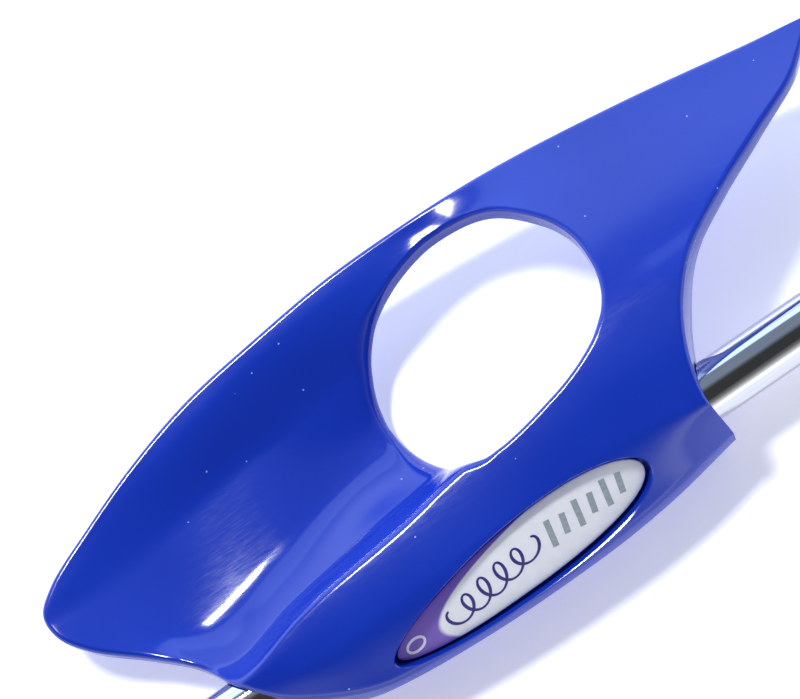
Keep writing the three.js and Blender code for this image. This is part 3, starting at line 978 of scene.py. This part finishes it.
@dataclass
class RingHolder:
    """The one-piece moulding: fingertip scoop, finger hole, arch, tail wing and barrel housing."""

    barrel_radius_mm: float
    axis_height_mm: float
    label: FlankLabel = field(default_factory=FlankLabel)
    rib_steps: int = 14
    top_steps: int = 84
    bottom_steps: int = 30
    fillet_steps: int = 6
    edge_round_mm: float = 0.6
    flank_round_mm: float = 0.5
    scoop_hole_round_mm: float = 1.8
    arch_hole_round_mm: float = 0.5
    bore_gap_mm: float = 0.3
    bore_tool_mm: Point = (-40, 60)

    def edge(self, place: Vector, outward: Vector, reach: float) -> list[Vector]:
        """Rounds the edge between the top and bottom surfaces.

        Args:
            place: the outline's point.
            outward: the outline's unit normal, out of the material.
            reach: the rounding's width in millimetres.

        Returns:
            The points from the top surface round to the bottom surface.
        """
        rise = height_on(TOP_LINES, place.x, place.y) - height_on(BOTTOM_LINES, place.x, place.y)
        radius = min(reach, 0.48 * rise)
        turns = [math.pi / 2 * k / self.fillet_steps for k in range(self.fillet_steps + 1)]
        points = []
        for lines, sign, order in ((TOP_LINES, -1, turns), (BOTTOM_LINES, 1, turns[::-1])):
            for turn in order:
                spot = place - outward * (reach * (1 - math.sin(turn)))
                drop = radius * (1 - math.cos(turn))
                points.append(Vector((spot.x, spot.y, height_on(lines, spot.x, spot.y) + sign * drop)))
        return points

    def span(self, lines: list[DesignLine], start: Vector, end: Vector, steps: int) -> list[Vector]:
        """Returns the points of a surface strictly between two edges.

        Args:
            lines: the surface's design lines.
            start: the first edge's last point.
            end: the second edge's first point.
            steps: the number of steps between them.
        """
        spots = [start.lerp(end, k / steps) for k in range(1, steps)]
        return [Vector((p.x, p.y, height_on(lines, p.x, p.y))) for p in spots]

    def corner_share(self, t: float) -> float:
        """Narrows the rounding near a sharp corner.

        Args:
            t: the place round the holder, counted in ribs.

        Returns:
            The share of its width that the rounding keeps there.
        """
        gaps = [abs(t - rib) for rib in (TAIL_TIP_RIB, REAR_CORNER_RIB)]
        away = min(min(gap, len(RIBS) - gap) for gap in gaps)
        return 0.2 + 0.8 * smoothstep(away, 0, 0.8)

    def section(self, t: float) -> list[Vector]:
        """Draws one closed section of the holder, over the top and back underneath.

        Args:
            t: the place round the holder, counted in ribs.

        Returns:
            The section's points.
        """
        outer, outward = on_outline(0, t, (TAIL_TIP_RIB, REAR_CORNER_RIB))
        hole, from_hole = on_outline(1, t, ())
        flank = smoothstep(-outer.y, -2, 3)
        reach = self.edge_round_mm + flank * (self.flank_round_mm - self.edge_round_mm)
        reach *= self.corner_share(t)
        outer_edge = self.edge(outer, outward, reach)
        arch = smoothstep(hole.x, 10, 16)
        lip = self.scoop_hole_round_mm + arch * (self.arch_hole_round_mm - self.scoop_hole_round_mm)
        hole_edge = self.edge(hole, -from_hole, lip)[::-1]
        top = self.span(TOP_LINES, hole_edge[-1], outer_edge[0], self.top_steps)
        bottom = self.span(BOTTOM_LINES, outer_edge[-1], hole_edge[0], self.bottom_steps)
        return [*top, *outer_edge, *bottom, *hole_edge]

    def moulding(self) -> Piece:
        """Makes the moulding's surface, a closed ring of sections.

        Returns:
            The closed moulding.
        """
        sections = [self.section(i / self.rib_steps) for i in range(len(RIBS) * self.rib_steps)]
        loop, count = len(sections[0]), len(sections)
        loops = [list(range(i * loop, (i + 1) * loop)) for i in range(count)]
        faces = [face for i in range(count) for face in band(loops[i], loops[(i + 1) % count])]
        return mesh_object("holder_moulding", [p for section in sections for p in section], faces)

    def bore_tool(self) -> Piece:
        """Makes the tool that cuts the barrel's bore.

        Returns:
            The closed tool.
        """
        radius = self.barrel_radius_mm + self.bore_gap_mm
        low, high = self.bore_tool_mm
        profile = [(low, 0), (low, radius), (high, radius), (high, 0)]
        return turned("bore_tool", profile, self.axis_height_mm, 96)

    def build(self, palette: Palette) -> None:
        """Builds and dresses the moulding, the label and its print.

        Args:
            palette: the finishes.
        """
        body = self.moulding()
        cut(body, self.bore_tool())
        cut(body, self.label.recess_tool())
        shade(body)
        stand_for(body, "ring_holder", "holder", palette.get(Finish.ABS))
        stand_for(self.label.plate(), "label_plate", "holder", palette.get(Finish.LABEL))
        self.print_label(palette)

    def print_label(self, palette: Palette) -> None:
        """Prints a generic motif on the label: a scribbled pen line, slanted bars and a ring.

        Args:
            palette: the finishes.
        """
        loops, steps = 5, 240
        scribble = []
        for k in range(steps + 1):
            t = k / steps
            phase = math.tau * loops * t
            x = 2.8 + 10.6 * t - 0.95 * math.sin(phase)
            across = -0.5 + 0.6 * t + (1.1 + 0.5 * math.sin(math.pi * t)) * math.cos(phase) * 0.8
            scribble.append((x, across, 0.10 + 0.07 * math.sin(phase) ** 2))
        pieces = [("label_scribble", scribble, Finish.PRINT_DARK)]
        for k in range(6):
            x = 15.0 + 1.65 * k
            tall = 1.0 if k % 2 else 1.35
            bar = [(x + 0.5 * t / 8, tall * (t / 4 - 1), 0.32) for t in range(9)]
            pieces.append((f"label_bar_{k + 1}", bar, Finish.PRINT_GREY))
        turns = [math.tau * k / 48 for k in range(49)]
        ring = [(-1.6 + 1.0 * math.cos(turn), 0.6 * math.sin(turn) - 0.1, 0.13) for turn in turns]
        pieces.append(("label_ring", ring, Finish.PRINT_PALE))
        for name, path, finish in pieces:
            piece = self.label.ribbon(name, path)
            dress(piece, palette.get(finish))
            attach(piece, "holder")
        log.info("label print: %d strokes", len(pieces))


# ---- pen


@dataclass(frozen=True)
class Span:
    """Where a turned CAD node lies: its ends along X and its radius, in millimetres."""

    start: float
    end: float
    radius: float
    height: float

    @classmethod
    def of(cls, node: str) -> "Span":
        """Reads a node's span from the frame."""
        low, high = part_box(node)
        return cls(low.x / MM, high.x / MM, (high.z - low.z) / 2 / MM, (high.z + low.z) / 2 / MM)


@dataclass
class SlimBallpoint:
    """The twist-action ballpoint: barrel halves, nose, ring, finial, mechanism and refill."""

    palette: Palette
    wall_mm: float = 0.35

    def chrome(self, piece: Piece, node: str, body: str) -> None:
        """Plates a piece with chrome, and lets it stand for a CAD node."""
        stand_for(piece, node, body, self.palette.get(Finish.CHROME))

    def barrel(self, name: str, node: str, body: str) -> None:
        """Builds one half of the barrel, a tube with rounded ends.

        Args:
            name: the tube's name.
            node: the CAD node that it stands for and takes its sizes from.
            body: the body that it moves with.
        """
        span = Span.of(node)
        bore = span.radius - self.wall_mm
        profile = [(span.start, bore), (span.start, span.radius), (span.end, span.radius), (span.end, bore)]
        piece = turned(name, rounded(profile, 0.12), span.height)
        self.chrome(piece, node, body)

    def nose(self) -> None:
        """Builds the nose cone, with two fine grooves behind its taper and a threaded spigot."""
        span = Span.of("nose_cone")
        shoulder = Span.of("front_barrel").start - 0.3
        outline = [
            (span.start, 1.1), (span.start, 1.45), (span.start + 0.4, 1.6), (span.start + 5, 2.15),
            (shoulder - 4, 2.75), (shoulder - 2.6, 2.86), (shoulder - 2.5, 2.7), (shoulder - 2.1, 2.7),
            (shoulder - 2.0, 2.9), (shoulder - 1.4, 2.93), (shoulder - 1.3, 2.75), (shoulder - 0.9, 2.75),
            (shoulder - 0.8, 2.97), (shoulder, 2.97), (shoulder, 1.9),
        ]
        for k in range(12):
            x = shoulder + 0.4 + k * 0.36
            outline += [(x, 1.72), (x + 0.18, 1.9)]
        outline += [
            (span.end, 1.9), (span.end, 1.5), (span.start + 5, 1.5), (span.start + 3.5, 1.1),
        ]
        piece = turned("nose_taper", rounded(outline, 0.12, 3), span.height)
        self.chrome(piece, "nose_cone", "holder")

    def ring(self) -> None:
        """Builds the centre ring, a rounded band with a groove round its middle."""
        span = Span.of("centre_ring")
        middle = (span.start + span.end) / 2
        outline = [
            (span.start, 2.05), (span.start, span.radius - 0.15), (span.start + 0.15, span.radius),
            (middle - 0.2, span.radius), (middle - 0.1, span.radius - 0.15),
            (middle + 0.1, span.radius - 0.15), (middle + 0.2, span.radius),
            (span.end - 0.15, span.radius), (span.end, span.radius - 0.15),
            (span.end, 2.05),
        ]
        piece = turned("centre_band", rounded(outline, 0.06, 3), span.height)
        self.chrome(piece, "centre_ring", "holder")

    def finial(self) -> None:
        """Builds the end cap, a domed finial with a groove and a flat end."""
        span = Span.of("end_cap")
        start = Span.of("rear_barrel").end + 0.3
        radius = span.radius
        outline = [
            (span.start, 0), (span.start, 0.6), (start, 0.6), (start, radius), (start + 0.7, radius),
            (start + 0.8, radius - 0.15), (start + 1.0, radius - 0.15), (start + 1.1, radius),
            (start + 2.6, radius), (start + 3.7, 2.85), (span.end - 0.35, 2.5), (span.end, 2.2),
            (span.end, 0),
        ]
        piece = turned("finial", rounded(outline, 0.3, 5), span.height)
        self.chrome(piece, "end_cap", "twist_barrel")

    def writing_tip(self) -> None:
        """Builds the refill's turned tip and its ball."""
        span = Span.of("refill_tip")
        ball = Span.of("writing_ball")
        seat = ball.radius + 0.06
        shoulder = Span.of("refill_tube").start - 0.3
        taper_start, taper_end = -38, -36.4
        outline = [
            (span.start + 0.55, 0), (span.start + 0.55, seat), (span.start, seat), (span.start, seat + 0.1),
            (span.start + 1.4, 0.8), (taper_start, 0.8), (taper_end, span.radius),
            (shoulder - 0.2, span.radius),
            (shoulder, span.radius - 0.1), (shoulder, 0.55), (span.end, 0.55), (span.end, 0),
        ]
        piece = turned("tip_cone", rounded(outline, 0.08, 3), span.height, 72)
        stand_for(piece, "refill_tip", "refill", self.palette.get(Finish.STEEL))
        middle = (ball.start + ball.end) / 2
        arc = []
        for k in range(33):
            turn = math.pi * k / 32
            arc.append((middle - ball.radius * math.cos(turn), max(0.0, ball.radius * math.sin(turn))))
        arc[0], arc[-1] = (ball.start, 0), (ball.end, 0)
        piece = turned("ball", arc, ball.height, 48)
        stand_for(piece, "writing_ball", "refill", self.palette.get(Finish.CARBIDE))

    def inner_parts(self, nodes: dict[str, Piece]) -> None:
        """Dresses the parts inside the pen, which keep their CAD shapes.

        Args:
            nodes: the frame's nodes by name.
        """
        finishes = {
            Finish.BRASS: ("nose_insert", "mechanism_housing", "cam_rotor"),
            Finish.NITRILE: ("friction_ring",),
            Finish.ACETAL: ("rear_plug", "refill_plug"),
            Finish.STEEL: ("refill_carrier", "follower_pin"),
            Finish.POLYPROPYLENE: ("refill_tube",),
            Finish.INK: ("ink_column",),
            Finish.GREASE: ("ink_follower",),
        }
        for finish, names in finishes.items():
            for name in names:
                dress(nodes[name], self.palette.get(finish))
            log.info("%s: %s", finish.name.lower(), ", ".join(names))

    def build(self, nodes: dict[str, Piece]) -> None:
        """Builds and dresses the whole pen.

        Args:
            nodes: the frame's CAD nodes by name.
        """
        self.nose()
        self.barrel("front_tube", "front_barrel", "holder")
        self.ring()
        self.barrel("rear_tube", "rear_barrel", "twist_barrel")
        self.finial()
        self.writing_tip()
        self.inner_parts(nodes)


# ---- studio


@dataclass
class Studio:
    """A faintly backlit white table, soft light from the outer rim's side, and a dim ceiling.

    Each wall is a list of [height, brightness], with height as the sine of the angle above level.
    """

    floor_size_m: float = 1.6
    floor_steps: int = 8
    glow: float = 0.42
    front_wall: Profile = field(
        default_factory=lambda: [(0.0, 1.9), (0.14, 1.9), (0.3, 0.8), (0.5, 0.25), (0.7, 0.05)]
    )
    back_wall: Profile = field(default_factory=lambda: [(0.0, 1.9), (0.3, 1.9), (0.55, 0.55), (0.8, 0.32)])
    cool: tuple[float, float, float] = (0.74, 0.9, 1.2)
    turn_to_rear: float = 0.35
    lamp_distance_m: float = 0.9
    holder_middle_m: tuple[float, float, float] = (0.015, 0.012, 0.006)
    tilt_degrees: float = 22.0
    roll_degrees: float = 34.4
    distance_m: float = 0.260
    lens_mm: float = 117.0
    target_m: tuple[float, float, float] = (0.01325, 0.02076, 0.009)

    def table(self) -> None:
        """Makes the table top, of frosted acrylic that is softly lit from below."""
        half = self.floor_size_m / MM / 2
        steps = self.floor_steps
        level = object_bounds()[0].z / MM - 0.01
        ticks = [-half + 2 * half * k / steps for k in range(steps + 1)]
        points = [Vector((x, y, level)) for y in ticks for x in ticks]
        faces = []
        for j in range(steps):
            for i in range(steps):
                a = j * (steps + 1) + i
                faces.append((a, a + 1, a + steps + 2, a + steps + 1))
        floor = mesh_object("table_top", points, faces)
        sheet = Surface("backlit_white_acrylic")
        mottle = sheet.add("ShaderNodeTexNoise", {"Scale": per_mm(3.0), "Detail": 4.0})
        ends = {"stops": stops("#eeeef2", "#f4f4f6")}
        sheet.put("Base Color", sheet.add("ShaderNodeValToRGB", ends, {"Fac": mottle}))
        sheet.put("Roughness", 0.55)
        sheet.put("Emission Color", linear("#f1f0ff"))
        sheet.put("Emission Strength", self.glow)
        dress(floor, sheet.material)
        floor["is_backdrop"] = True

    def sky(self) -> None:
        """Lights the room: pale walls round the table under a dim ceiling."""
        world = bpy.data.worlds.new("studio")
        bpy.context.scene.world = world
        world.use_nodes = True
        tree = world.node_tree
        tree.nodes.clear()
        place = add_node(tree, "ShaderNodeTexCoord").outputs["Generated"]
        axes = add_node(tree, "ShaderNodeSeparateXYZ", links={"Vector": place})
        walls = []
        for wall, tint in ((self.front_wall, (1.0, 1.0, 1.0)), (self.back_wall, self.cool)):
            stops = [(at, (*(value * part for part in tint), 1.0)) for at, value in wall]
            shade_at = add_node(tree, "ShaderNodeValToRGB", {"stops": stops}, {"Fac": axes.outputs["Z"]})
            walls.append(shade_at.outputs["Color"])
        lean = {"operation": "MULTIPLY_ADD", 1: self.turn_to_rear}
        turn = add_node(tree, "ShaderNodeMath", lean, {0: axes.outputs["X"], 2: axes.outputs["Y"]})
        step = {"From Min": -0.15, "From Max": 0.2, "interpolation_type": "SMOOTHSTEP"}
        side = add_node(tree, "ShaderNodeMapRange", step, {"Value": turn.outputs[0]})
        joined = {0: side.outputs[0], 6: walls[0], 7: walls[1]}
        light = add_node(tree, "ShaderNodeMix", {"data_type": "RGBA"}, joined).outputs[2]
        sky = add_node(tree, "ShaderNodeBackground", {"Strength": 1.0}, {"Color": light})
        add_node(tree, "ShaderNodeOutputWorld", links={"Surface": sky.outputs["Background"]})

    def softbox(
        self, name: str, toward: Vector, size: Point, power: float, colour: str = "#ffffff"
    ) -> None:
        """Hangs a softbox that faces the holder.

        Args:
            name: the light's name.
            toward: its direction from the holder.
            size: its width and height in metres.
            power: its power in watts.
            colour: its light's colour.
        """
        data = bpy.data.lights.new(name, "AREA")
        data.shape = "RECTANGLE"
        data.size, data.size_y = size
        data.energy = power
        data.color = linear(colour)[:3]
        lamp = bpy.data.objects.new(name, data)
        bpy.context.scene.collection.objects.link(lamp)
        lamp.location = Vector(self.holder_middle_m) + toward.normalized() * self.lamp_distance_m
        lamp.rotation_mode = "QUATERNION"
        lamp.rotation_quaternion = (-toward).to_track_quat("-Z", "Y")

    def camera(self) -> None:
        """Sets the camera above the holder, tipped to the barrel's side and rolled."""
        tilt, roll = math.radians(self.tilt_degrees), math.radians(self.roll_degrees)
        back = Vector((0, -math.sin(tilt), math.cos(tilt)))
        along = Vector((1, 0, 0))
        across = Vector((0, math.cos(tilt), math.sin(tilt)))
        right = along * math.cos(roll) - across * math.sin(roll)
        up = along * math.sin(roll) + across * math.cos(roll)
        data = bpy.data.cameras.new("camera")
        data.sensor_width = 36.0
        data.lens = self.lens_mm
        data.clip_start = 0.01
        camera = bpy.data.objects.new("camera", data)
        bpy.context.scene.collection.objects.link(camera)
        turn = Matrix((right, up, back)).transposed().to_4x4()
        camera.matrix_world = Matrix.Translation(Vector(self.target_m) + back * self.distance_m) @ turn
        bpy.context.scene.camera = camera

    def build(self) -> None:
        """Builds the table, the light and the camera."""
        self.camera()
        self.table()
        self.sky()
        self.softbox("key", Vector((-0.18, 0.44, 0.88)), (0.15, 0.12), 5.6)
        self.softbox("window", Vector((0.15, 0.77, 0.63)), (0.9, 0.3), 1.35, "#b9d3ff")
        view = bpy.context.scene.view_settings
        view.view_transform = "Standard"
        view.look = "None"
        log.info("studio ready")


# ---- assembly


def main() -> None:
    """Builds the studio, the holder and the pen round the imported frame."""
    logging.basicConfig(level=logging.INFO, format="%(name)s: %(message)s")
    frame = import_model()
    Studio().build()
    palette = Palette()
    barrel = Span.of("front_barrel")
    RingHolder(barrel.radius, barrel.height).build(palette)
    SlimBallpoint(palette).build(frame["nodes"])


if __name__ == "__main__":
    main()
